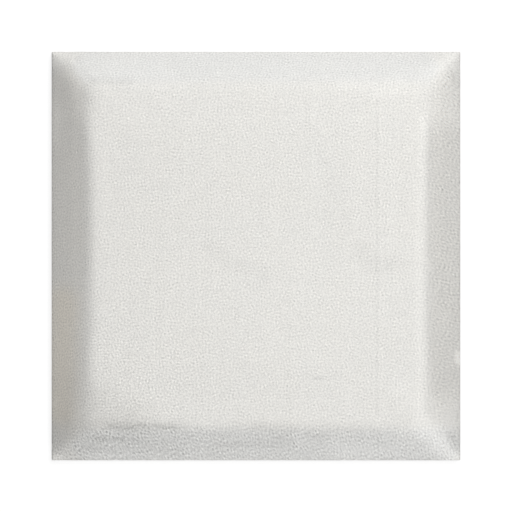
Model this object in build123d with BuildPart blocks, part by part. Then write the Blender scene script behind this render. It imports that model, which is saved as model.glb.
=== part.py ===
"""A square upholstered acoustic panel: velvet stretched over bevelled foam on a backing board.

The panel lies on its back. The origin is the middle of the back, +Z points out of the padded front,
and X and Y run along the panel's edges. All sizes are in millimetres.
"""

import os
from math import hypot

from build123d import *

# The finished panel
panel_side = 300.0
panel_thickness = 40.0
crown_rise = 1.5
edge_height = 11.0
bevel_width = 26.0

# How softly the padding turns from one face to the next
shoulder_radius = 14.0
edge_radius = 5.0
back_radius = 2.0
front_corner_radius = 16.0
upright_corner_radius = 4.0

# The layers, and the room left between the cover and what it is stretched over
fabric_thickness = 1.2
board_thickness = 9.0
cover_ease = 0.2

# The cover's hem, turned under the board
hem_width = 30.0

# Fine-wire upholstery staples that hold the hem
staple_crown = 12.8
staple_leg = 8.0
staple_wire_width = 0.95
staple_wire_thickness = 0.65
staple_point = 1.2
staple_sink = 0.1
staple_clearance = 0.1
staples_per_side = 6
staple_inset = 16.0
staple_corner_margin = 46.0
corner_staple_inset = 17.0


def padded_form(inset, back_level):
    """Makes the panel's outside shape, its padded faces moved inwards by inset and its back at back_level."""
    # The bevel's slope, from the top of the upright edge to where it would meet the front
    bevel_rise = panel_thickness - crown_rise - edge_height
    slope_length = hypot(bevel_width, bevel_rise)
    outward = bevel_rise / slope_length
    upward = bevel_width / slope_length

    # Where the moved faces meet each other
    side = panel_side - 2 * inset
    edge_top = edge_height - inset * (1 - outward) / upward
    front_level = panel_thickness - crown_rise - inset
    crown_level = front_level + crown_rise
    front_side = side - 2 * bevel_width * (front_level - edge_top) / bevel_rise
    # The bevel is cut past the shoulder, up to the level of the crown
    bevel_head_side = side - 2 * bevel_width * (crown_level - edge_top) / bevel_rise

    with BuildPart() as form:
        with BuildSketch(Plane.XY.offset(back_level)):
            RectangleRounded(side, side, upright_corner_radius - inset)
        extrude(amount=edge_top - back_level)
        with BuildSketch(Plane.XY.offset(edge_top)) as bevel_foot:
            RectangleRounded(side, side, upright_corner_radius - inset)
        with BuildSketch(Plane.XY.offset(crown_level)) as bevel_head:
            RectangleRounded(bevel_head_side, bevel_head_side, front_corner_radius - inset)
        loft(sections=[bevel_foot.sketch, bevel_head.sketch], ruled=True)

        # The front is a shallow dome that rises by crown_rise from the middle of each shoulder
        dome_radius = ((front_side / 2) ** 2 + crown_rise**2) / (2 * crown_rise)
        with Locations((0, 0, crown_level - dome_radius)):
            Sphere(dome_radius, mode=Mode.INTERSECT)

        front = form.faces().sort_by(Axis.Z)[-1]
        fillet(front.edges(), shoulder_radius - inset)
        edge_line = form.edges().filter_by(lambda edge: abs(edge.center().Z - edge_top) < 1e-3)
        fillet(edge_line, edge_radius - inset)
        back = form.faces().sort_by(Axis.Z)[0]
        fillet(back.edges(), back_radius - inset)
    return form.part


# The outside of the cover, its inside, and the outside of what it is stretched over
outside_form = padded_form(0, 0)
inside_form = padded_form(fabric_thickness, fabric_thickness)
core_form = padded_form(fabric_thickness + cover_ease, fabric_thickness)
board_top = fabric_thickness + board_thickness

# One staple at the origin, legs up, its crown just under the hem's surface
leg_tip = staple_sink + staple_leg
leg_shoulder = leg_tip - staple_point
crown_top = staple_sink + staple_wire_thickness
outer_x = staple_crown / 2
inner_x = outer_x - staple_wire_thickness

with BuildPart() as staple:
    with BuildSketch(Plane.XZ):
        with BuildLine():
            Polyline(
                (-outer_x, staple_sink),
                (outer_x, staple_sink),
                (outer_x, leg_tip),
                (inner_x, leg_shoulder),
                (inner_x, crown_top),
                (-inner_x, crown_top),
                (-inner_x, leg_shoulder),
                (-outer_x, leg_tip),
                close=True,
            )
        make_face()
    extrude(amount=staple_wire_width / 2, both=True)

# The room that a staple takes up in the hem and the board
seat_width = staple_wire_width + 2 * staple_clearance
leg_x = (outer_x + inner_x) / 2
upright = (Align.CENTER, Align.CENTER, Align.MIN)

with BuildPart() as staple_seat:
    Box(staple_crown + 2 * staple_clearance, seat_width, crown_top, align=upright)
    with Locations((-leg_x, 0), (leg_x, 0)):
        Box(
            staple_wire_thickness + 2 * staple_clearance,
            seat_width,
            leg_tip + staple_clearance,
            align=upright,
        )

# A row of staples along each side of the hem, and one across each folded corner
staple_run = panel_side - 2 * staple_corner_margin
staple_pitch = staple_run / (staples_per_side - 1)
row_offset = panel_side / 2 - staple_inset
corner_offset = panel_side / 2 - corner_staple_inset
staple_places = {}
for side_number in range(1, 5):
    turn = 90 * (side_number - 1)
    for number in range(1, staples_per_side + 1):
        along = (number - 1) * staple_pitch - staple_run / 2
        in_row = Location((0, 0, 0), (0, 0, turn)) * Location((along, -row_offset, 0))
        staple_places[f"staple_side_{side_number}_{number}"] = in_row
    at_corner = Location((0, 0, 0), (0, 0, turn)) * Location((corner_offset, -corner_offset, 0), (0, 0, 45))
    staple_places[f"staple_corner_{side_number}"] = at_corner

with BuildPart() as backing_board:
    add(core_form)
    split(bisect_by=Plane.XY.offset(board_top), keep=Keep.BOTTOM)
    with Locations(*staple_places.values()):
        add(staple_seat.part, mode=Mode.SUBTRACT)
backing_board.part.label = "backing_board"

with BuildPart() as foam_pad:
    add(core_form)
    split(bisect_by=Plane.XY.offset(board_top), keep=Keep.TOP)
foam_pad.part.label = "foam_pad"

window_side = panel_side - 2 * hem_width

with BuildPart() as velvet_cover:
    add(outside_form)
    add(inside_form, mode=Mode.SUBTRACT)
    with BuildSketch():
        Rectangle(window_side, window_side)
    extrude(amount=fabric_thickness, mode=Mode.SUBTRACT)
    with Locations(*staple_places.values()):
        add(staple_seat.part, mode=Mode.SUBTRACT)
velvet_cover.part.label = "velvet_cover"

os.makedirs("parts", exist_ok=True)
export_step(backing_board.part, "parts/backing_board.step")
export_step(foam_pad.part, "parts/foam_pad.step")
export_step(velvet_cover.part, "parts/velvet_cover.step")
for name, place in staple_places.items():
    placed_staple = staple.part.moved(place)
    placed_staple.label = name
    export_step(placed_staple, f"parts/{name}.step")
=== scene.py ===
"""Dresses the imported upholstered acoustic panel: velvet stretched over bevelled foam on a backing board.

The panel lies on its back on a white floor, and the camera looks straight down at its padded front, with
+Y at the top of the picture. Lengths are in metres, and MM turns a length in millimetres into metres.
"""

import logging
import math
from contextlib import contextmanager
from dataclasses import dataclass, field
from enum import Enum
from typing import Callable, Iterator, Sequence

import bmesh
import bpy
import numpy as np
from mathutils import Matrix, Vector

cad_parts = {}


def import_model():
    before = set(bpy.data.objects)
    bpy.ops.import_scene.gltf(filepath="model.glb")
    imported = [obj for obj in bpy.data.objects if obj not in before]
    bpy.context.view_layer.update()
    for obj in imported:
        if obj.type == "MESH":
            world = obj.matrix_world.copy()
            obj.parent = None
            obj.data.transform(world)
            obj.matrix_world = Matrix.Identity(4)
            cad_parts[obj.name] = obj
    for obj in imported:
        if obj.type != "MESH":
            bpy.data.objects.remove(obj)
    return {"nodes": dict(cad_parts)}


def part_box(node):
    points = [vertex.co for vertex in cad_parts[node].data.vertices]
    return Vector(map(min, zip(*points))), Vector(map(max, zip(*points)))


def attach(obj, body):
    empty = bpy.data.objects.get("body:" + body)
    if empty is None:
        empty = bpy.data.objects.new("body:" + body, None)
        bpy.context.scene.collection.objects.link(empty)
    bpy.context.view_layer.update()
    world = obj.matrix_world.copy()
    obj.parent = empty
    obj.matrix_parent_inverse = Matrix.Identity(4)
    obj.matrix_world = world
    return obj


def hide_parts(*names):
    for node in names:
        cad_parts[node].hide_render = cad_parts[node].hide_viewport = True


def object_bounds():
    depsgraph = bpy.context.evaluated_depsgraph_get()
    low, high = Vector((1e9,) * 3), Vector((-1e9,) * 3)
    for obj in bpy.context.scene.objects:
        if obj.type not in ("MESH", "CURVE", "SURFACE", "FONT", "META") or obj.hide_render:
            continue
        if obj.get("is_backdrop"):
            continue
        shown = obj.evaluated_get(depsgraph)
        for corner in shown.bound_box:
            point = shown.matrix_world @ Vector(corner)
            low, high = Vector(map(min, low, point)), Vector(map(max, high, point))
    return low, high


MM = 0.001
LOG = logging.getLogger("panel")

Plan = tuple[float, float]
Triple = tuple[float, float, float]
Colour = Triple
Socket = bpy.types.NodeSocket
Amount = Socket | float

# How far a point moves towards its neighbours each time that the cloth is smoothed
SMOOTHING = 0.5

# A length that counts as none
NO_LENGTH = 1e-6


class Side(Enum):
    """The panel's four sides, each with the direction that it faces."""

    RIGHT = (1.0, 0.0)
    TOP = (0.0, 1.0)
    LEFT = (-1.0, 0.0)
    BOTTOM = (0.0, -1.0)


class Layer(Enum):
    """The cover's three kinds of face, by the material slot that each takes."""

    OUTER = 0
    INNER = 1
    CUT_EDGE = 2


def smooth_step(value: np.ndarray) -> np.ndarray:
    """Rises smoothly from 0 to 1 as a value goes from 0 to 1."""
    share = np.clip(value, 0.0, 1.0)
    return share * share * (3.0 - 2.0 * share)


def points_of(piece: bpy.types.Object) -> np.ndarray:
    """Reads a mesh's points.

    Args:
        piece: The object whose mesh is read.

    Returns:
        One row of three coordinates for each point.
    """
    flat = np.empty(len(piece.data.vertices) * 3, np.float32)
    piece.data.vertices.foreach_get("co", flat)
    return flat.reshape(-1, 3).astype(float)


def normals_of(piece: bpy.types.Object) -> np.ndarray:
    """Reads a mesh's point normals.

    Args:
        piece: The object whose mesh is read.

    Returns:
        One row of three for each point.
    """
    flat = np.empty(len(piece.data.vertices) * 3, np.float32)
    piece.data.vertex_normals.foreach_get("vector", flat)
    return flat.reshape(-1, 3).astype(float)


def place_points(piece: bpy.types.Object, points: np.ndarray) -> None:
    """Writes a mesh's points back.

    Args:
        piece: The object whose mesh is changed.
        points: One row of three coordinates for each point.
    """
    piece.data.vertices.foreach_set("co", points.astype(np.float32).ravel())
    piece.data.update()


def choose(piece: bpy.types.Object) -> None:
    """Selects one object alone and makes it the active one.

    Args:
        piece: The object.
    """
    bpy.ops.object.select_all(action="DESELECT")
    piece.select_set(True)
    bpy.context.view_layer.objects.active = piece


@contextmanager
def editing(piece: bpy.types.Object, kind: str = "FACE") -> Iterator[None]:
    """Opens a piece in edit mode with nothing selected, and leaves edit mode afterwards.

    Args:
        piece: The object to edit.
        kind: What is selected there: VERT, EDGE or FACE.
    """
    choose(piece)
    bpy.ops.object.mode_set(mode="EDIT")
    bpy.ops.mesh.select_mode(type=kind)
    bpy.ops.mesh.select_all(action="DESELECT")
    yield
    bpy.ops.object.mode_set(mode="OBJECT")


def pick(piece: bpy.types.Object, kind: str, wanted: Callable[..., bool]) -> None:
    """Selects, in edit mode, the points, edges or faces that a test accepts, and nothing else.

    Args:
        piece: The object in edit mode.
        kind: verts, edges or faces.
        wanted: The test that each one is put to.
    """
    bpy.ops.mesh.select_all(action="DESELECT")
    mesh = bmesh.from_edit_mesh(piece.data)
    for part in getattr(mesh, kind):
        if not part.hide and wanted(part):
            part.select_set(True)
    bmesh.update_edit_mesh(piece.data)


def finish_with(piece: bpy.types.Object, kind: str, **settings: object) -> None:
    """Adds a modifier, sets it and applies it.

    Args:
        piece: The object that it shapes.
        kind: The modifier's type.
        **settings: Its values, by name.
    """
    modifier = piece.modifiers.new(kind.title(), kind)
    for name, value in settings.items():
        setattr(modifier, name, value)
    choose(piece)
    bpy.ops.object.modifier_apply(modifier=modifier.name)


def weigh(piece: bpy.types.Object, name: str, weights: np.ndarray) -> None:
    """Gives a piece a vertex group.

    Args:
        piece: The object.
        name: The group's name.
        weights: A weight from 0 to 1 for each point.
    """
    group = piece.vertex_groups.new(name=name)
    for index in np.flatnonzero(weights > 0.0):
        group.add([int(index)], float(weights[index]), "REPLACE")


@dataclass(frozen=True)
class Grain:
    """A noise in a finish: its grains to a metre, its finer layers, and how much it swings the tone."""

    scale: float
    detail: float
    swing: float


@dataclass(frozen=True)
class Weave:
    """Threads in a finish: their grains to a metre along, across and in depth, finer layers and swing."""

    length: float
    fineness: float
    depth: float
    detail: float
    swing: float


class Shading:
    """A material with a Principled surface, and short ways to add nodes to it.

    A noise may be turned by uneven_turn. Tufts lean by pile_tilt, and tuft_order is how strictly their rows
    keep to one direction.
    """

    uneven_turn: Triple = (0.6, 0.5, 0.3)
    pile_tilt: Triple = (0.25, 0.25, 0.0)
    tuft_order: float = 0.62

    def __init__(self, name: str) -> None:
        """Makes the material.

        Args:
            name: The finish's name.
        """
        self.material = bpy.data.materials.new(name)
        self.material.use_nodes = True
        self.nodes = self.material.node_tree.nodes
        self.links = self.material.node_tree.links
        self.surface = self.nodes["Principled BSDF"]
        self.place = self.nodes.new("ShaderNodeTexCoord").outputs["Object"]

    def set(self, **sockets: object) -> None:
        """Sets constants on the surface's own sockets, named with underscores for spaces."""
        for name, value in sockets.items():
            self.surface.inputs[name.replace("_", " ")].default_value = value

    def noise(
        self, scale: float, detail: float, stretch: Triple = (1.0, 1.0, 1.0), turned: bool = False
    ) -> Socket:
        """Adds a noise on Object coordinates.

        Args:
            scale: How many grains there are to a metre.
            detail: How many finer layers it has.
            stretch: How much finer it is along each axis.
            turned: Whether it is turned, so that level faces cut through its grains unevenly.

        Returns:
            The noise's value, about 0.5 on average.
        """
        mapping = self.nodes.new("ShaderNodeMapping")
        mapping.inputs["Scale"].default_value = stretch
        if turned:
            mapping.inputs["Rotation"].default_value = self.uneven_turn
        self.links.new(self.place, mapping.inputs["Vector"])
        noise = self.nodes.new("ShaderNodeTexNoise")
        noise.inputs["Scale"].default_value = scale
        noise.inputs["Detail"].default_value = detail
        self.links.new(mapping.outputs["Vector"], noise.inputs["Vector"])
        return noise.outputs["Fac"]

    def threads(self, weave: Weave) -> tuple[Socket, Socket]:
        """Adds the threads of a weave, as noises drawn out along X and along Y.

        Args:
            weave: How long and how fine the threads are.

        Returns:
            The threads that run along X, and those that run along Y.
        """
        across = self.noise(1.0, weave.detail, (weave.length, weave.fineness, weave.depth))
        along = self.noise(1.0, weave.detail, (weave.fineness, weave.length, weave.depth))
        return across, along

    def cells(self, scale: float) -> Socket:
        """Adds a cell pattern on Object coordinates.

        Args:
            scale: How many cells there are to a metre.

        Returns:
            The distance from the middle of the nearest cell.
        """
        cells = self.nodes.new("ShaderNodeTexVoronoi")
        cells.inputs["Scale"].default_value = scale
        self.links.new(self.place, cells.inputs["Vector"])
        return cells.outputs["Distance"]

    def tufts(self, spacing: float, evenness: float, direction: float) -> Socket:
        """Adds rows of tufts of about one size, seen along the pile.

        Args:
            spacing: The distance from one row to the next.
            evenness: How many rows keep in step with each other.
            direction: The angle that the rows are turned by, more or less.

        Returns:
            The tufts' height, about 0.5 on average.
        """
        mapping = self.nodes.new("ShaderNodeMapping")
        mapping.inputs["Rotation"].default_value = self.pile_tilt
        self.links.new(self.place, mapping.inputs["Vector"])
        tufts = self.nodes.new("ShaderNodeTexGabor")
        tufts.gabor_type = "2D"
        tufts.inputs["Scale"].default_value = 1.0 / (spacing * evenness)
        tufts.inputs["Frequency"].default_value = evenness
        tufts.inputs["Anisotropy"].default_value = self.tuft_order
        turn = next(socket for socket in tufts.inputs if socket.identifier == "Orientation 2D")
        turn.default_value = direction
        self.links.new(mapping.outputs["Vector"], tufts.inputs["Vector"])
        return tufts.outputs["Value"]

    def attribute(self, name: str) -> Socket:
        """Reads a number that the mesh holds for each point.

        Args:
            name: The attribute's name.

        Returns:
            The number's socket.
        """
        node = self.nodes.new("ShaderNodeAttribute")
        node.attribute_name = name
        return node.outputs["Fac"]

    def maths(self, operation: str, first: Amount, second: Amount, third: Amount = 0.0) -> Socket:
        """Adds a Math node.

        Args:
            operation: What it does.
            first: A socket or a number.
            second: A socket or a number.
            third: A socket or a number, where the operation has one.

        Returns:
            The result's socket.
        """
        node = self.nodes.new("ShaderNodeMath")
        node.operation = operation
        for socket, value in zip(node.inputs, (first, second, third)):
            if isinstance(value, Socket):
                self.links.new(value, socket)
            else:
                socket.default_value = value
        return node.outputs["Value"]

    def swing(self, total: Amount, noise: Socket, amount: float) -> Socket:
        """Adds a noise to a running total, so that it swings it up and down by about the amount."""
        centred = self.maths("SUBTRACT", noise, 0.5)
        return self.maths("MULTIPLY_ADD", centred, 2.0 * amount, total)

    def grained(self, total: Amount, grain: Grain, turned: bool = False) -> Socket:
        """Swings a running total by a grain, which may be turned as a noise may."""
        return self.swing(total, self.noise(grain.scale, grain.detail, turned=turned), grain.swing)

    def blend(self, share: Socket, first: Colour, second: Colour) -> Socket:
        """Mixes two colours.

        Args:
            share: The share of the second.
            first: The first colour, linear.
            second: The second colour, linear.

        Returns:
            The mixed colour's socket.
        """
        node = self.nodes.new("ShaderNodeMix")
        node.data_type = "RGBA"
        ends = [socket for socket in node.inputs if socket.type == "RGBA"]
        for socket, colour in zip(ends, (first, second)):
            socket.default_value = (*colour, 1.0)
        self.links.new(share, node.inputs["Factor"])
        return next(socket for socket in node.outputs if socket.type == "RGBA")

    def tint(self, colour: Socket, tone: Socket | None = None) -> None:
        """Gives the surface a colour.

        Args:
            colour: The colour's socket.
            tone: A number of about 1 that makes it paler or darker, if there is one.
        """
        if tone is not None:
            node = self.nodes.new("ShaderNodeVectorMath")
            node.operation = "SCALE"
            self.links.new(colour, node.inputs["Vector"])
            self.links.new(tone, node.inputs["Scale"])
            colour = node.outputs["Vector"]
        self.links.new(colour, self.surface.inputs["Base Color"])

    def relief(self, height: Socket, depth: float, strength: float) -> None:
        """Gives the surface a fine relief.

        Args:
            height: The relief's height, from 0 to 1.
            depth: How deep a height of 1 is.
            strength: How much of it shows.
        """
        bump = self.nodes.new("ShaderNodeBump")
        bump.inputs["Distance"].default_value = depth
        bump.inputs["Strength"].default_value = strength
        self.links.new(height, bump.inputs["Height"])
        self.links.new(bump.outputs["Normal"], self.surface.inputs["Normal"])


@dataclass(frozen=True)
class VelvetFinish:
    """Short-pile velvet in warm off-white, nap brushed unevenly, with painted light and shade in its marks.
    """

    cool: Colour = (0.777, 0.775, 0.757)
    warm: Colour = (0.823, 0.772, 0.68)
    usual_warmth: float = 0.17
    nap_and_painted_light_attribute: str = "nap"
    painted_light_tint_attribute: str = "warmth"
    ruffle_attribute: str = "ruffle"
    tuft_spacing: float = 2.3 * MM
    tuft_evenness: float = 1.8
    tuft_swing: float = 0.16
    tuft_relief: float = 0.35
    pile: Grain = Grain(scale=1650.0, detail=0.5, swing=0.24)
    threads: Weave = Weave(length=380.0, fineness=1400.0, depth=380.0, detail=0.5, swing=0.06)
    thread_relief: float = 0.15
    long_threads: Weave = Weave(length=9.0, fineness=420.0, depth=90.0, detail=1.0, swing=0.018)
    mottle: Grain = Grain(scale=110.0, detail=1.0, swing=0.02)
    clouds: Grain = Grain(scale=24.0, detail=3.0, swing=0.01)
    browning: Grain = Grain(scale=30.0, detail=2.0, swing=0.06)
    relief_depth: float = 0.16 * MM
    relief_strength: float = 1.0

    def make(self) -> bpy.types.Material:
        """Makes the velvet's material: tufts, pile, threads, mottled nap, and the marks' nap and painted
        light.

        Returns:
            The material.
        """
        shade = Shading("velvet")
        shade.set(Roughness=0.95, Sheen_Weight=0.2, Sheen_Roughness=0.5, Specular_IOR_Level=0.15)
        tufts = [shade.tufts(self.tuft_spacing, self.tuft_evenness, turn) for turn in (0.0, math.pi / 2.0)]
        threads = shade.threads(self.threads)
        grain: Amount = 0.0
        for rows in tufts:
            grain = shade.swing(grain, rows, self.tuft_swing)
        grain = shade.grained(grain, self.pile, turned=True)
        for run in threads:
            grain = shade.swing(grain, run, self.threads.swing)
        # The nap attribute holds nap patches and specks, and painted light and shade on the bevels, corners,
        # shoulders, creases and hem folds
        nap = shade.maths("ADD", shade.attribute(self.nap_and_painted_light_attribute), 1.0)
        # The ruffle attribute's stronger grain on the bottom bevel stands in for grazing light
        ruffle = shade.maths("ADD", shade.attribute(self.ruffle_attribute), 1.0)
        tone = shade.maths("MULTIPLY_ADD", grain, ruffle, nap)
        for run in shade.threads(self.long_threads):
            tone = shade.swing(tone, run, self.long_threads.swing)
        tone = shade.grained(tone, self.mottle, turned=True)
        tone = shade.grained(tone, self.clouds)
        # The warmth attribute holds painted tints that stand in for the colour of the light on each bevel
        warmth = shade.maths("ADD", shade.attribute(self.painted_light_tint_attribute), self.usual_warmth)
        warmth = shade.grained(warmth, self.browning)
        shade.tint(shade.blend(warmth, self.cool, self.warm), tone)
        height: Amount = 0.5
        for rows in tufts:
            height = shade.swing(height, rows, self.tuft_relief)
        for run in threads:
            height = shade.swing(height, run, self.thread_relief)
        shade.relief(height, self.relief_depth, self.relief_strength)
        return shade.material


@dataclass(frozen=True)
class ClothBackFinish:
    """The plain woven back of the velvet, seen at its cut edge."""

    pale: Colour = (0.72, 0.70, 0.64)
    dark: Colour = (0.58, 0.56, 0.50)
    thread_scale: float = 1100.0
    thread_detail: float = 1.0
    relief_depth: float = 0.2 * MM
    relief_strength: float = 0.6

    def make(self) -> bpy.types.Material:
        """Makes the material of the cloth's back and cut edge.

        Returns:
            The material.
        """
        shade = Shading("velvet_back")
        shade.set(Roughness=0.95, Specular_IOR_Level=0.15)
        threads = shade.noise(self.thread_scale, self.thread_detail)
        shade.tint(shade.blend(threads, self.dark, self.pale))
        shade.relief(threads, self.relief_depth, self.relief_strength)
        return shade.material


@dataclass(frozen=True)
class FoamFinish:
    """Open-cell foam."""

    pale: Colour = (0.84, 0.80, 0.66)
    dark: Colour = (0.66, 0.61, 0.46)
    cell_scale: float = 700.0
    patches: Grain = Grain(scale=40.0, detail=2.0, swing=0.05)
    relief_depth: float = 0.6 * MM
    relief_strength: float = 0.8

    def make(self) -> bpy.types.Material:
        """Makes the foam's material, with its open cells.

        Returns:
            The material.
        """
        shade = Shading("foam")
        shade.set(Roughness=1.0, Specular_IOR_Level=0.1)
        cells = shade.cells(self.cell_scale)
        tone = shade.grained(1.0, self.patches)
        shade.tint(shade.blend(cells, self.dark, self.pale), tone)
        shade.relief(cells, self.relief_depth, self.relief_strength)
        return shade.material


@dataclass(frozen=True)
class BoardFinish:
    """Raw fibreboard: pressed wood fibres, matt and brown."""

    pale: Colour = (0.47, 0.33, 0.20)
    dark: Colour = (0.33, 0.21, 0.115)
    fibre_stretch: Triple = (260.0, 700.0, 700.0)
    fibre_detail: float = 4.0
    fibre_swing: float = 1.0
    flecks: Grain = Grain(scale=1500.0, detail=2.0, swing=0.2)
    patches: Grain = Grain(scale=14.0, detail=3.0, swing=0.1)
    relief_depth: float = 0.08 * MM
    relief_strength: float = 0.5

    def make(self) -> bpy.types.Material:
        """Makes the board's material, with its fibres and pressed flecks.

        Returns:
            The material.
        """
        shade = Shading("fibreboard")
        shade.set(Roughness=0.82, Specular_IOR_Level=0.25)
        fibres = shade.noise(1.0, self.fibre_detail, self.fibre_stretch)
        fibres = shade.swing(0.5, fibres, self.fibre_swing)
        flecks = shade.noise(self.flecks.scale, self.flecks.detail)
        tone = shade.swing(1.0, flecks, self.flecks.swing)
        tone = shade.grained(tone, self.patches)
        shade.tint(shade.blend(fibres, self.dark, self.pale), tone)
        shade.relief(shade.maths("ADD", fibres, flecks), self.relief_depth, self.relief_strength)
        return shade.material


@dataclass(frozen=True)
class WireFinish:
    """Galvanised staple wire, drawn and a little dulled."""

    bright: Colour = (0.46, 0.455, 0.44)
    dull: Colour = (0.24, 0.235, 0.23)
    patch_scale: float = 900.0
    patch_detail: float = 3.0
    scratch_scale: float = 5000.0
    scratch_detail: float = 2.0
    scratch_depth: float = 0.02 * MM
    scratch_strength: float = 0.4

    def make(self) -> bpy.types.Material:
        """Makes the wire's material, with fine scratches and dull patches.

        Returns:
            The material.
        """
        shade = Shading("staple_wire")
        shade.set(Metallic=1.0, Roughness=0.38)
        patches = shade.noise(self.patch_scale, self.patch_detail)
        shade.tint(shade.blend(patches, self.dull, self.bright))
        scratches = shade.noise(self.scratch_scale, self.scratch_detail)
        shade.relief(scratches, self.scratch_depth, self.scratch_strength)
        return shade.material


@dataclass(frozen=True)
class Mark:
    """A crease, pinch, brushed patch or painted light or shade in the velvet, along a line in the panel's
    plan.

    Points and half_width are in millimetres. Height is how far the cloth is raised, or pressed in where it
    is negative. Tone is how much paler the velvet is painted there, which at many marks is painted light or
    shade; warmth is how much browner, and ruffle how much more uneven. A higher power gives a flatter mark
    with a crisper edge.
    """

    name: str
    points: tuple[Plan, ...]
    half_width: float
    height: float = 0.0
    tone: float = 0.0
    power: float = 2.0
    warmth: float = 0.0
    ruffle: float = 0.0

    def share(self, plan: np.ndarray) -> np.ndarray:
        """How strongly the mark shows at each point.

        Args:
            plan: One row of x and y in metres for each point.

        Returns:
            A share from 0 to 1 for each point.
        """
        corners = np.array(self.points, float) * MM
        nearest = np.full(len(plan), np.inf)
        ends = list(zip(corners, corners[1:])) or [(corners[0], corners[0])]
        for start, end in ends:
            run = end - start
            length_squared = max(float(run @ run), NO_LENGTH**2)
            along = np.clip((plan - start) @ run / length_squared, 0.0, 1.0)
            nearest = np.minimum(nearest, np.linalg.norm(plan - start - along[:, None] * run, axis=1))
        return np.exp(-((nearest / (self.half_width * MM)) ** self.power))


@dataclass(frozen=True)
class Softness:
    """One round of softening: how often the cloth is smoothed, and where.

    Start and full are in millimetres from the panel's middle, towards the direction. A corner's softness
    counts the smaller of the two distances.
    """

    name: str
    passes: int
    towards: Plan = (0.0, 0.0)
    start: float = 0.0
    full: float = 1.0

    def share(self, plan: np.ndarray) -> np.ndarray:
        """How much each point is softened.

        Args:
            plan: One row of x and y in metres for each point.

        Returns:
            A share from 0 to 1 for each point.
        """
        signs = np.array(self.towards)
        if not signs.any():
            return np.ones(len(plan))
        distance = (plan * signs)[:, signs != 0.0].min(axis=1) / MM
        return smooth_step((distance - self.start) / (self.full - self.start))


# Where the padding is rounded more, and how often
SOFTNESS = (
    Softness("everywhere", 6),
    Softness("left shoulder", 8, (-1.0, 0.0), 80.0, 110.0),
    Softness("top shoulder", 8, (0.0, 1.0), 80.0, 110.0),
    Softness("top left corner", 30, (-1.0, 1.0), 90.0, 125.0),
    Softness("top right corner", 30, (1.0, 1.0), 90.0, 125.0),
    Softness("bottom left corner", 60, (-1.0, -1.0), 80.0, 120.0),
    Softness("bottom right corner", 60, (1.0, -1.0), 88.0, 122.0),
)

# Folds, crumples and waves in the cloth, which have a height and most of them a tone: painted shade
# in the hollows, and painted highlight on the fold's lip and the top left corner's ridge
CREASES = (
    Mark("fold_line", ((87.0, 112.0), (87.4, 10.0), (87.1, -115.0)), 1.1, height=-0.2, tone=-0.05),
    Mark("fold_lip", ((89.4, 110.0), (89.8, 10.0), (89.5, -113.0)), 1.3, height=0.15, tone=0.015),
    Mark("cross_fold_upper", ((-116.0, -46.3), (17.0, -46.6)), 1.4, height=-0.10),
    Mark("cross_fold_middle", ((-83.0, -62.0), (3.0, -62.4)), 1.4, height=-0.08),
    Mark("cross_fold_lower", ((-112.0, -95.0), (-58.0, -95.6)), 1.4, height=-0.10),
    Mark("pinch", ((41.5, -88.0), (48.5, -88.5)), 1.1, height=-0.25, tone=-0.13),
    Mark("crumple_left", ((-106.0, -123.0), (-97.0, -124.5), (-88.0, -124.2)), 1.3, -0.3, -0.15),
    Mark("crumple_right", ((-84.0, -122.0), (-78.0, -123.0)), 1.3, -0.35, -0.16),
    Mark("crumple_far_right", ((-74.0, -121.8), (-66.0, -123.6), (-58.0, -124.0)), 1.3, -0.3, -0.14),
    Mark("crumple_lip", ((-106.0, -119.5), (-90.0, -120.5), (-66.0, -119.5)), 2.0, 0.3),
    Mark("crumple_short", ((-118.0, -132.0), (-108.0, -133.2), (-97.0, -133.0)), 1.3, -0.3, -0.15),
    Mark("crumple_tail", ((-97.0, -134.5), (-84.0, -134.0)), 1.1, -0.25, -0.08),
    Mark("crumple_low", ((-122.0, -141.0), (-104.0, -143.0)), 1.3, -0.3, -0.08),
    Mark("wave_middle", ((-52.0, -131.0), (-34.0, -129.0), (-20.0, -131.0)), 1.4, -0.3, -0.06),
    Mark("wave_low", ((-30.0, -138.5), (-6.0, -137.0), (12.0, -139.0)), 1.5, -0.3, -0.06),
    Mark("wave_right", ((36.0, -129.5), (44.0, -131.5), (52.0, -130.5)), 1.3, -0.3, -0.08),
    Mark("corner_fold_top_left", ((-132.0, 143.0), (-119.0, 127.0)), 1.6, -0.5, -0.03),
    Mark("corner_ridge_top_left", ((-143.0, 148.0), (-121.0, 133.0)), 2.2, 0.4, 0.03),
    Mark("corner_fold_top_right", ((135.5, 148.0), (142.0, 138.0), (148.0, 126.0)), 1.1, -0.35, -0.05),
)
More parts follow.
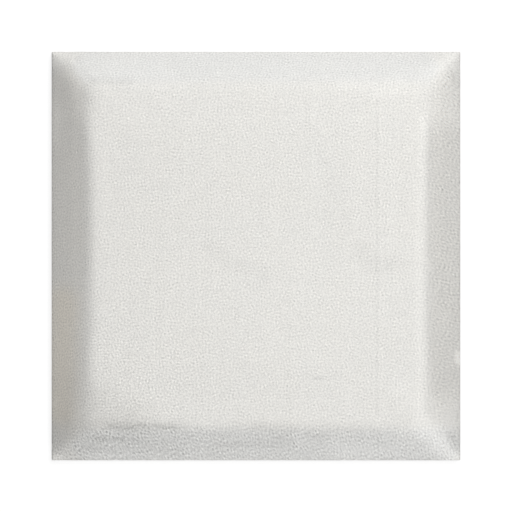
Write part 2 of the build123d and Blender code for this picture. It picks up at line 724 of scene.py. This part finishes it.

# Specks and brushed or ruffled patches in the nap, and painted light and shade on the bevels,
# shoulders and corners, all of which lie flat
NAP_AND_PAINTED_LIGHT = (
    Mark("speck_left", ((-44.6, -52.8),), 0.9, tone=-0.10),
    Mark("speck_far_left", ((-87.1, -70.1),), 0.9, tone=-0.10),
    Mark("speck_middle", ((4.4, -58.6),), 0.9, tone=-0.08),
    Mark("patch_middle", ((-32.0, 6.0), (-16.0, -6.0), (8.0, -12.0)), 6.0, tone=-0.028, power=5.0),
    Mark("brushed_slant", ((36.0, 94.0), (52.0, 60.0), (68.0, 18.0)), 4.0, tone=-0.016),
    Mark("patch_right", ((76.0, 6.0), (83.0, -5.0), (93.0, -6.0)), 7.5, tone=-0.035, power=5.0),
    Mark("patch_right_tail", ((95.0, -6.0), (122.0, -6.5)), 2.6, tone=-0.025, power=4.0),
    Mark("shoulder_dent", ((124.0, -4.5), (126.0, -8.5)), 2.2, tone=0.06, power=3.0),
    # Painted light tints: each bevel is warmed or cooled for the colour of the light that falls on it, and
    # bottom_cool's ruffle stands in for grazing light on the grain
    Mark("left_warm", ((-139.0, 122.0), (-139.0, -122.0)), 14.0, power=6.0, warmth=0.1),
    Mark("left_low_warm", ((-141.0, -34.0), (-143.0, -112.0)), 12.0, power=3.0, warmth=0.5),
    Mark("right_warm", ((139.0, 122.0), (139.0, -100.0)), 13.0, power=6.0, warmth=0.06, ruffle=0.4),
    Mark("top_cool", ((-120.0, 138.0), (120.0, 138.0)), 13.0, power=6.0, warmth=-0.16),
    Mark("bottom_cool", ((-120.0, -138.0), (138.0, -138.0)), 14.0, power=6.0, warmth=-0.16, ruffle=0.7),
    # Painted shade in the bottom left corner, along its mitre and at its tip, and painted light along the
    # left edge low down
    Mark("corner_dim_bottom_left", ((-122.0, -104.0), (-96.0, -118.0)), 17.0, tone=-0.105),
    Mark("corner_shade_bottom_left", ((-131.0, -122.0), (-119.0, -131.0)), 11.0, tone=-0.08),
    Mark("left_edge_low", ((-147.0, -106.0), (-147.0, -132.0)), 6.0, tone=0.075),
    Mark("corner_tip_bottom_left", ((-146.0, -141.0), (-134.0, -145.0)), 10.0, tone=-0.095, ruffle=0.5),
    Mark("ruffled_bottom_left", ((-110.0, -70.0), (-70.0, -105.0)), 40.0, ruffle=0.25),
    Mark("rim_top_left", ((-117.0, 127.0), (-91.0, 125.5)), 2.2, tone=-0.06),
    # Painted shade in the top left corner, painted light along the left edge high up, and painted shade in
    # the top right corner and along the left shoulder
    Mark("corner_dim_top_left", ((-124.0, 132.0), (-121.0, 118.0)), 7.0, tone=-0.05),
    Mark("left_edge_high", ((-147.0, 140.0), (-147.0, 88.0)), 6.0, tone=0.105),
    Mark("corner_dim_top_right", ((128.0, 143.0), (146.0, 146.0)), 8.0, tone=-0.03),
    Mark("left_shoulder_dim", ((-124.0, 112.0), (-123.0, -10.0)), 5.0, tone=-0.045),
    Mark("front_low_dim", ((-40.0, -85.0), (15.0, -100.0)), 22.0, tone=-0.012),
    Mark("front_upper_dim", ((-45.0, 62.0), (45.0, 62.0)), 50.0, tone=-0.017),
    Mark("pale_rim_top_left", ((-112.0, 123.0), (-40.0, 123.5)), 2.2, tone=0.012),
    Mark("pale_rim_top_right", ((60.0, 124.0), (104.0, 122.0)), 5.5, tone=0.025, power=3.0),
    # Painted shade on the bottom bevel at its left and middle, painted light on it at the right and low on
    # the right edge, and painted shade along the bottom edge and the bottom shoulder
    Mark("bottom_left_bevel", ((-124.0, -130.0), (-62.0, -131.0)), 12.5, tone=-0.075, power=4.0),
    Mark("bottom_middle_bevel", ((-42.0, -137.0), (20.0, -137.0)), 8.0, tone=-0.05),
    Mark("bottom_right_bevel", ((60.0, -143.0), (130.0, -144.0)), 8.0, tone=0.065),
    Mark("right_edge_low", ((146.5, -98.0), (147.0, -126.0)), 6.0, tone=0.02),
    Mark("bottom_edge_left", ((-88.0, -143.0), (-55.0, -143.0)), 6.0, tone=-0.035),
    Mark("bottom_rim_left", ((-84.0, -121.0), (-54.0, -121.0)), 5.0, tone=-0.035),
    Mark("bottom_rim_middle", ((2.0, -121.0), (24.0, -123.0)), 5.0, tone=-0.03),
    Mark("blotch_middle", ((14.0, -131.0), (24.0, -133.0)), 5.0, tone=-0.03),
    # Painted light that brightens the right, left and top left bevels beyond what the lamps give them
    Mark("right_bevel", ((139.0, 118.0), (139.0, -118.0)), 12.0, tone=0.045, power=6.0),
    Mark("right_bevel_high", ((141.0, 134.0), (141.0, 104.0)), 14.0, tone=0.15),
    Mark("right_bevel_low", ((141.0, -112.0), (142.0, -130.0)), 12.0, tone=0.15),
    Mark("left_bevel", ((-138.0, 122.0), (-138.0, -118.0)), 12.0, tone=0.055, power=6.0),
    Mark("left_bevel_high", ((-143.0, 128.0), (-141.0, 104.0)), 9.0, tone=0.06),
    Mark("top_left_bevel", ((-118.0, 138.0), (-70.0, 138.0)), 10.0, tone=0.03),
    Mark("blotch_bottom", ((-12.0, -124.0), (14.0, -130.0)), 7.0, tone=-0.025, power=3.0),
    Mark("blotch_bottom_small", ((38.0, -128.0), (48.0, -133.0)), 5.0, tone=-0.03, power=3.0),
    # A painted highlight along the bottom right mitre, and painted shade in the wedge beside it
    Mark("mitre_bottom_right", ((119.0, -121.0), (146.0, -147.0)), 8.0, tone=0.105, power=3.0),
    Mark("wedge_bottom_right", ((142.0, -132.0), (148.5, -141.0)), 4.0, tone=-0.13, power=4.0),
    Mark("brushed_bottom_right", ((137.0, -121.0), (147.0, -124.0)), 4.5, tone=0.03, power=4.0),
    Mark("brushed_right_high", ((131.0, 112.0), (133.0, 68.0)), 4.0, tone=0.025, power=2.0),
    Mark("brushed_right_low", ((136.0, -43.0), (139.0, -50.0)), 4.5, tone=0.03, power=3.0),
    Mark("brushed_right_inner", ((127.0, -26.0), (126.5, -37.0)), 2.2, tone=0.03, power=3.0),
    Mark("scuff_right_edge", ((149.5, -72.5), (149.5, -76.5)), 3.4, tone=0.17, power=4.0),
    Mark("scuff_rim", ((148.0, -71.0), (146.3, -75.0), (148.0, -78.5)), 1.1, tone=0.2),
    Mark("pale_bottom_right", ((108.0, -98.0), (116.0, -108.0)), 9.0, tone=0.035),
    # A painted highlight near the top right of the front
    Mark("pale_top_right", ((98.0, 118.0), (116.0, 108.0)), 12.0, tone=0.012),
    Mark("line_under_top", ((-27.0, 116.0), (25.0, 116.0)), 2.0, tone=-0.012),
    # A painted highlight along the right shoulder
    Mark("rubbed_shoulder", ((119.5, 100.0), (117.6, 0.0), (117.8, -110.0)), 3.0, tone=0.05),
)

# The hem's folded corners, each along a diagonal from its inner end to its outer one, pressed in
# with painted shadow along the fold
FOLD_INNER = 121.0
FOLD_OUTER = 147.0
HEM_FOLDS = tuple(
    Mark(
        "hem_fold",
        ((across * FOLD_INNER, along * FOLD_INNER), (across * FOLD_OUTER, along * FOLD_OUTER)),
        half_width=1.2,
        height=-0.35,
        tone=-0.2,
    )
    for across in (-1.0, 1.0)
    for along in (-1.0, 1.0)
)


@dataclass
class Cover:
    """The velvet: one sheet over the front, the bevels and the upright edges, turned under as a hem."""

    corner: Vector
    finish: VelvetFinish = field(default_factory=VelvetFinish)
    back_finish: ClothBackFinish = field(default_factory=ClothBackFinish)
    name: str = "stretched_velvet"
    thickness: float = 1.2 * MM
    edge_height: float = 11.0 * MM
    bevel_width: float = 21.0 * MM
    crown_rise: float = 1.5 * MM
    hem: float = 30.0 * MM
    outer_round: float = 0.6 * MM
    grid: float = 3.0 * MM
    edge_rows: int = 4
    bows: dict[Side, float] = field(
        default_factory=lambda: {
            Side.RIGHT: 6.0 * MM,
            Side.TOP: 6.0 * MM,
            Side.LEFT: 9.0 * MM,
            Side.BOTTOM: 6.0 * MM,
        }
    )
    bow_power: int = 4
    pressure: float = 4.0
    cloth_frames: int = 20
    cloth_quality: int = 5
    grid_smoothing: int = 3
    cut_size: tuple[float, float] = (0.4, 0.4)
    fold_step: float = 0.45 * MM
    staple_dimple: float = 0.9 * MM
    dimple_flat: float = 1.0 * MM
    dimple_spread: float = 1.6 * MM
    cut_wave: float = 0.35 * MM
    long_wave: float = 17.0 * MM
    short_wave: float = 7.3 * MM
    short_wave_start: float = 1.0
    pleat_inset: float = 10.0 * MM
    pleat_depth: float = 0.35 * MM
    pleat_width: float = 1.4 * MM

    @property
    def half(self) -> float:
        """Half the panel's side."""
        return self.corner.x

    @property
    def shoulder_level(self) -> float:
        """How high the front's edge is."""
        return self.corner.z - self.crown_rise

    def cut_out(self) -> bpy.types.Object:
        """Models the cover's plain form: upright edges, bevels, front and hem, with a window behind.

        Returns:
            The plain form.
        """
        side = 2.0 * self.half
        level = 0.99
        just_above_edge = 1.1 * self.edge_height
        bpy.ops.object.select_all(action="DESELECT")
        bpy.ops.mesh.primitive_cube_add(
            size=1.0, location=(0.0, 0.0, self.edge_height / 2.0), scale=(side, side, self.edge_height)
        )
        cover = bpy.context.object
        cover.name = self.name
        bpy.ops.object.transform_apply(location=True, rotation=True, scale=True)
        front_share = 1.0 - self.bevel_width / self.half
        with editing(cover):
            pick(cover, "faces", lambda face: face.normal.z > level)
            rise = (0.0, 0.0, self.shoulder_level - self.edge_height)
            bpy.ops.mesh.extrude_region_move(TRANSFORM_OT_translate={"value": rise})
            bpy.ops.transform.resize(value=(front_share, front_share, 1.0), center_override=(0.0, 0.0, 0.0))
        with editing(cover, "EDGE"):
            pick(cover, "edges", lambda edge: max(end.co.z for end in edge.verts) < just_above_edge)
            bpy.ops.mesh.bevel(offset=self.outer_round, segments=2, affect="EDGES")
        with editing(cover):
            pick(cover, "faces", lambda face: face.normal.z < -level)
            bpy.ops.mesh.inset(thickness=self.hem - self.outer_round)
            bpy.ops.mesh.delete(type="FACE")
        return cover

    def weave(self, cover: bpy.types.Object) -> None:
        """Cuts the plain form into a fine square grid that can bend as cloth.

        Args:
            cover: The plain form.
        """
        count = round(self.half / self.grid)
        row = self.edge_height / self.edge_rows
        cuts = [((step * self.grid, 0.0, 0.0), (1.0, 0.0, 0.0)) for step in range(1 - count, count)]
        cuts += [((0.0, step * self.grid, 0.0), (0.0, 1.0, 0.0)) for step in range(1 - count, count)]
        cuts += [((0.0, 0.0, step * row), (0.0, 0.0, 1.0)) for step in range(1, self.edge_rows)]
        with editing(cover):
            for place, direction in cuts:
                bpy.ops.mesh.select_all(action="SELECT")
                bpy.ops.mesh.bisect(plane_co=place, plane_no=direction)

    def bow_shoulders(self, cover: bpy.types.Object) -> None:
        """Draws the middle of each shoulder inwards, as the stretched cloth does between its corners.

        Args:
            cover: The gridded form.
        """
        places = points_of(cover)
        padded = places[:, 2] > self.edge_height
        inner = self.half - self.bevel_width
        moves = np.zeros_like(places)
        for side in Side:
            reach = places[:, :2] @ np.array(side.value)
            along = np.abs(places[:, :2] @ np.array(side.value[::-1]))
            outside = np.clip((self.half - reach) / self.bevel_width, 0.0, 1.0)
            inside = np.clip(reach / inner, 0.0, 1.0)
            bow = np.clip(1.0 - (along / inner) ** self.bow_power, 0.0, 1.0)
            amount = np.where(padded, self.bows[side] * outside * inside * bow, 0.0)
            moves[:, :2] -= amount[:, None] * np.array(side.value)
        place_points(cover, places + moves)

    def soften(self, cover: bpy.types.Object) -> None:
        """Rounds the shoulders and mitres, and leaves the upright edges and the hem as they are.

        Args:
            cover: The gridded form.
        """
        for number, softness in enumerate(SOFTNESS):
            places = points_of(cover)
            free = smooth_step((places[:, 2] - self.edge_height - MM) / self.grid)
            group = f"soft_{number}"
            weigh(cover, group, free * softness.share(places[:, :2]))
            finish_with(cover, "SMOOTH", factor=SMOOTHING, iterations=softness.passes, vertex_group=group)

    def stretch(self, cover: bpy.types.Object) -> None:
        """Simulates the cloth under the foam's push, held at the hem and the upright edges.

        The hold weakens over the bevels, up to the shoulders.

        Args:
            cover: The softened form.
        """
        before = points_of(cover)
        rise = self.shoulder_level - self.edge_height
        weigh(cover, "held", 1.0 - smooth_step((before[:, 2] - self.edge_height) / rise))
        cloth = cover.modifiers.new("Cloth", "CLOTH")
        cloth.settings.quality = self.cloth_quality
        cloth.settings.vertex_group_mass = "held"
        cloth.settings.use_pressure = True
        cloth.settings.uniform_pressure_force = self.pressure
        cloth.settings.effector_weights.gravity = 0.0
        cloth.point_cache.frame_end = self.cloth_frames
        scene = bpy.context.scene
        for step in range(1, self.cloth_frames + 1):
            scene.frame_set(step)
        choose(cover)
        bpy.ops.object.modifier_apply(modifier=cloth.name)
        scene.frame_set(1)
        moved = points_of(cover) - before
        most = float(np.linalg.norm(moved, axis=1).max())
        LOG.info("cloth moved %.2f mm at most", most / MM)
        place_points(cover, before + moved * min(1.0, self.crown_rise / most))

    def thicken(self, cover: bpy.types.Object) -> None:
        """Gives the cloth its thickness, then a finer grid on its outer face.

        Args:
            cover: The simulated sheet.
        """
        for slot in (self.finish.make(), *[self.back_finish.make()] * 2):
            cover.data.materials.append(slot)
        finish_with(
            cover,
            "SOLIDIFY",
            thickness=self.thickness,
            offset=-1.0,
            use_even_offset=True,
            material_offset=Layer.INNER.value,
            material_offset_rim=Layer.CUT_EDGE.value,
        )
        with editing(cover):
            pick(cover, "faces", lambda face: face.material_index == Layer.OUTER.value)
            bpy.ops.mesh.subdivide(number_cuts=1)

    def outer_points(self, cover: bpy.types.Object) -> np.ndarray:
        """Finds the points of the cloth's outer face.

        Args:
            cover: The thickened sheet.

        Returns:
            True for each point that lies on the outer face.
        """
        outer = np.zeros(len(cover.data.vertices), bool)
        for face in cover.data.polygons:
            if face.material_index == Layer.OUTER.value:
                outer[list(face.vertices)] = True
        return outer

    def crease(self, cover: bpy.types.Object) -> None:
        """Smooths the finer grid, presses creases in, and records the marks' nap and painted light and
        shade.

        Heights count on the padded front alone, and tones as far down as its rim. The hem has its own folds,
        with painted shadow along them.

        Args:
            cover: The thickened sheet.
        """
        outer = self.outer_points(cover)
        places = points_of(cover)
        front = outer & (places[:, 2] > self.edge_height + MM)
        weigh(cover, "front", front.astype(float))
        finish_with(cover, "SMOOTH", factor=SMOOTHING, iterations=self.grid_smoothing, vertex_group="front")
        places = points_of(cover)
        directions = normals_of(cover)
        height = np.zeros(len(places))
        nap = np.zeros(len(places))
        warmth = np.zeros(len(places))
        ruffle = np.zeros(len(places))
        rim = outer & (places[:, 2] > self.edge_height - self.outer_round)
        behind = outer & (places[:, 2] < self.thickness / 2.0)
        for marks, raised, toned in (((*CREASES, *NAP_AND_PAINTED_LIGHT), front, rim), (HEM_FOLDS, behind, behind)):
            for mark in marks:
                share = mark.share(places[:, :2])
                height += np.where(raised, mark.height * MM * share, 0.0)
                nap += np.where(toned, mark.tone * share, 0.0)
                warmth += np.where(toned, mark.warmth * share, 0.0)
                ruffle += np.where(toned, mark.ruffle * share, 0.0)
        place_points(cover, places + directions * height[:, None])
        for name, values in (
            (self.finish.nap_and_painted_light_attribute, nap),
            (self.finish.painted_light_tint_attribute, warmth),
            (self.finish.ruffle_attribute, ruffle),
        ):
            attribute = cover.data.attributes.new(name, "FLOAT", "POINT")
            attribute.data.foreach_set("value", values.astype(np.float32))

    def turn_under(self, cover: bpy.types.Object, staples: Sequence[bpy.types.Object]) -> None:
        """Folds the hem's corners, pleats the edges beside them, and presses the cloth in at each staple.

        The hem's cut edge also gets the slight wave of a cut made by hand.

        Args:
            cover: The creased cover.
            staples: The staples that hold the hem.
        """
        places = points_of(cover)
        outer = self.outer_points(cover)
        across, along = np.abs(places[:, 0]), np.abs(places[:, 1])
        under = outer & (places[:, 2] < self.thickness / 2.0)
        lift = self.fold_step * smooth_step((across - along) / self.grid)
        lift *= smooth_step((np.minimum(across, along) - self.half + self.hem) / self.grid)
        lift *= smooth_step((self.half - self.grid / 2.0 - np.maximum(across, along)) / self.grid)
        for staple in staples:
            lift = np.maximum(lift, self.staple_dimple * self.near_staple(staple, places[:, :2]))
        places[:, 2] += np.where(under, lift, 0.0)
        nearest, farthest = np.minimum(across, along), np.maximum(across, along)
        run = np.where(across > along, places[:, 1], places[:, 0])
        wave = np.sin(run / self.long_wave) + np.sin(run / self.short_wave + self.short_wave_start)
        window = self.half - self.hem
        fade, corner_fade = 2.0 * self.grid, 4.0 * self.grid
        wave *= smooth_step((window + fade - farthest) / fade)
        wave *= smooth_step((window - corner_fade - nearest) / corner_fade)
        wave *= self.cut_wave * (places[:, 2] < 1.1 * self.thickness)
        for axis, flank in ((0, across > along), (1, across <= along)):
            places[:, axis] += np.where(flank, wave, 0.0) * np.sign(places[:, axis])
        upright = outer & (places[:, 2] > self.outer_round) & (places[:, 2] < self.edge_height)
        for axis, run in ((0, along), (1, across)):
            flat = upright & (np.abs(places[:, axis]) > self.half - self.outer_round / 10.0)
            from_pleat = (run - self.half + self.pleat_inset) / self.pleat_width
            groove = self.pleat_depth * np.exp(-(from_pleat**2))
            places[:, axis] -= np.where(flat, groove, 0.0) * np.sign(places[:, axis])
        place_points(cover, places)

    def near_staple(self, staple: bpy.types.Object, plan: np.ndarray) -> np.ndarray:
        """How strongly a staple presses the hem in at each point.

        Args:
            staple: The staple.
            plan: One row of x and y for each point.

        Returns:
            A share from 0 to 1 for each point.
        """
        corners = np.array([staple.matrix_world @ point.co for point in staple.data.vertices])[:, :2]
        middle = corners.mean(axis=0)
        run = np.linalg.svd(corners - middle, full_matrices=False)[2][0]
        half_length = float(np.abs((corners - middle) @ run).max())
        offset = plan - middle
        beyond = np.maximum(np.abs(offset @ run) - half_length, 0.0)
        aside = np.maximum(np.abs(offset @ np.array((-run[1], run[0]))) - self.dimple_flat, 0.0)
        return np.exp(-((np.hypot(beyond, aside) / self.dimple_spread) ** 2))

    def build(self, staples: Sequence[bpy.types.Object]) -> tuple[bpy.types.Object, bpy.types.Object]:
        """Makes the cover.

        Args:
            staples: The staples that hold its hem.

        Returns:
            The finished cover, and a copy of its sheet from before it got its thickness.
        """
        cover = self.cut_out()
        self.weave(cover)
        self.bow_shoulders(cover)
        self.soften(cover)
        self.stretch(cover)
        sheet = cover.copy()
        sheet.data = cover.data.copy()
        bpy.context.scene.collection.objects.link(sheet)
        self.thicken(cover)
        self.crease(cover)
        self.turn_under(cover, staples)
        choose(cover)
        bpy.ops.object.shade_smooth()
        return cover, sheet

    def dress(self, cover: bpy.types.Object, rests_on: Sequence[str]) -> None:
        """Attaches the cover to the root body, and hides the imported cover that it stands for.

        Args:
            cover: The finished cover.
            rests_on: The names of what it is stretched over; not used.
        """
        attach(cover, "root")
        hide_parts("velvet_cover")


@dataclass
class Padding:
    """The foam under the cover, cut to the same form and glued to the board."""

    low: Vector
    cover_thickness: float
    finish: FoamFinish = field(default_factory=FoamFinish)
    name: str = "foam_padding"
    ease: float = 0.25 * MM
    crisp_angle: float = 40.0

    def build(self, sheet: bpy.types.Object) -> bpy.types.Object:
        """Turns a copy of the cover's sheet into the foam under it.

        Args:
            sheet: The copy, which becomes the foam.

        Returns:
            The foam.
        """
        sheet.name = self.name
        with editing(sheet):
            bpy.ops.mesh.select_all(action="SELECT")
            bpy.ops.transform.shrink_fatten(value=-(self.cover_thickness + self.ease))
            bpy.ops.mesh.select_all(action="SELECT")
            bpy.ops.mesh.bisect(
                plane_co=(0.0, 0.0, self.low.z), plane_no=(0.0, 0.0, 1.0), clear_inner=True, use_fill=True
            )
        sheet.data.materials.clear()
        sheet.data.materials.append(self.finish.make())
        choose(sheet)
        bpy.ops.object.shade_smooth_by_angle(angle=math.radians(self.crisp_angle))
        return sheet

    def dress(self, foam: bpy.types.Object) -> None:
        """Attaches the foam to the root body, and hides the imported foam pad that it stands for.

        Args:
            foam: The finished foam.
        """
        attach(foam, "root")
        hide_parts("foam_pad")


@dataclass
class Backing:
    """The board and its staples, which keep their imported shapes."""

    nodes: dict[str, bpy.types.Object]
    board_finish: BoardFinish = field(default_factory=BoardFinish)
    wire_finish: WireFinish = field(default_factory=WireFinish)

    @property
    def staples(self) -> list[bpy.types.Object]:
        """The staples, in the order of their names."""
        return [self.nodes[name] for name in sorted(self.nodes) if name.startswith("staple")]

    def dress(self) -> None:
        """Gives the board and the staples their finishes."""
        board, wire = self.board_finish.make(), self.wire_finish.make()
        finishes = [(self.nodes["backing_board"], board)]
        finishes += [(staple, wire) for staple in self.staples]
        for node, finish in finishes:
            node.data.materials.clear()
            node.data.materials.append(finish)


@dataclass(frozen=True)
class Softbox:
    """A square lamp that faces the panel's middle, from a compass direction and a height above the floor.

    Azimuth and elevation are in degrees. Brightness is its power for each square metre, divided by pi.
    """

    name: str
    azimuth: float
    elevation: float
    brightness: float
    distance: float = 1.3
    size: float = 0.7

    def build(self) -> None:
        """Hangs the lamp."""
        turn, lift = math.radians(self.azimuth), math.radians(self.elevation)
        level = math.cos(lift)
        towards = Vector((math.sin(turn) * level, math.cos(turn) * level, math.sin(lift)))
        bpy.ops.object.light_add(type="AREA", location=towards * self.distance)
        lamp = bpy.context.object
        lamp.name = self.name
        lamp.rotation_mode = "QUATERNION"
        lamp.rotation_quaternion = towards.to_track_quat("Z", "Y")
        lamp.data.shape = "SQUARE"
        lamp.data.size = self.size
        lamp.data.energy = self.brightness * math.pi * self.size**2


@dataclass
class Studio:
    """The white floor, the soft lamps and the camera."""

    lamps: tuple[Softbox, ...] = (
        Softbox("key", 38.0, 70.0, 7.95),
        Softbox("upper_strip", 0.0, 20.0, 4.3),
        Softbox("lower_strip", 180.0, 30.0, 5.1),
    )
    floor_size: float = 6.0
    floor_level: float = -0.2 * MM
    floor_shade: float = 0.28
    floor_glow: float = 0.82
    lens: float = 150.0
    sensor: float = 36.0
    picture_side: float = 512.0
    panel_pixels: float = 408.8
    outline_level: float = 11.0 * MM

    def seen_directly(self, nodes: bpy.types.Nodes, links: bpy.types.NodeLinks) -> Socket:
        """Adds the nodes that are 1 for camera, glossy and transmission rays.

        Args:
            nodes: The node tree's nodes.
            links: The node tree's links.

        Returns:
            The socket that holds it.
        """
        path = nodes.new("ShaderNodeLightPath")
        either = path.outputs["Is Camera Ray"]
        for other in ("Is Glossy Ray", "Is Transmission Ray"):
            most = nodes.new("ShaderNodeMath")
            most.operation = "MAXIMUM"
            links.new(either, most.inputs[0])
            links.new(path.outputs[other], most.inputs[1])
            either = most.outputs["Value"]
        return either

    def build_floor(self) -> None:
        """Lays a white floor that keeps a faint shadow."""
        bpy.ops.object.select_all(action="DESELECT")
        bpy.ops.mesh.primitive_plane_add(size=self.floor_size, location=(0.0, 0.0, self.floor_level))
        floor = bpy.context.object
        floor.name = "floor"
        shade = Shading("white_floor")
        shade.set(Base_Color=(*[self.floor_shade] * 3, 1.0), Roughness=1.0, Specular_IOR_Level=0.0)
        shade.set(Emission_Color=(1.0, 1.0, 1.0, 1.0))
        glow = shade.maths("MULTIPLY", self.seen_directly(shade.nodes, shade.links), self.floor_glow)
        shade.links.new(glow, shade.surface.inputs["Emission Strength"])
        floor.data.materials.append(shade.material)
        floor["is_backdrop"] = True

    def build_world(self) -> None:
        """Surrounds the floor with white that lights nothing."""
        world = bpy.data.worlds.new("white_room")
        bpy.context.scene.world = world
        world.use_nodes = True
        nodes, links = world.node_tree.nodes, world.node_tree.links
        nodes["Background"].inputs["Color"].default_value = (1.0, 1.0, 1.0, 1.0)
        links.new(self.seen_directly(nodes, links), nodes["Background"].inputs["Strength"])

    def build_camera(self, panel_side: float) -> None:
        """Sets the camera straight above the panel.

        Args:
            panel_side: The panel's side, which sets how far away the camera is.
        """
        view_width = panel_side * self.picture_side / self.panel_pixels
        distance = self.lens * view_width / self.sensor
        place = (0.0, 0.0, distance + self.outline_level)
        bpy.ops.object.camera_add(location=place, rotation=(0.0, 0.0, 0.0))
        camera = bpy.context.object
        camera.data.lens = self.lens
        camera.data.sensor_width = self.sensor
        bpy.context.scene.camera = camera

    def build(self, panel_side: float) -> None:
        """Sets up the floor, the lamps and the camera.

        Args:
            panel_side: The side of the panel that they are for.
        """
        bpy.context.scene.view_settings.view_transform = "Standard"
        self.build_floor()
        self.build_world()
        for lamp in self.lamps:
            lamp.build()
        self.build_camera(panel_side)


def main() -> None:
    """Builds the panel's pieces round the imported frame, then the studio."""
    logging.basicConfig(level=logging.INFO, format="%(name)s: %(message)s")
    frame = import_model()
    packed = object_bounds()
    low, high = packed

    backing = Backing(frame["nodes"])
    backing.dress()
    LOG.info("backing_board and %d staples dressed", len(backing.staples))
    cover_maker = Cover(corner=high)
    cover, sheet = cover_maker.build(backing.staples)
    LOG.info("%s: %d faces", cover.name, len(cover.data.polygons))
    padding = Padding(low=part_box("foam_pad")[0], cover_thickness=cover_maker.thickness)
    foam = padding.build(sheet)
    padding.dress(foam)
    LOG.info("%s: %d faces", foam.name, len(foam.data.polygons))
    cover_maker.dress(cover, [foam.name, "backing_board"])
    Studio().build(high.x - low.x)


if __name__ == "__main__":
    main()
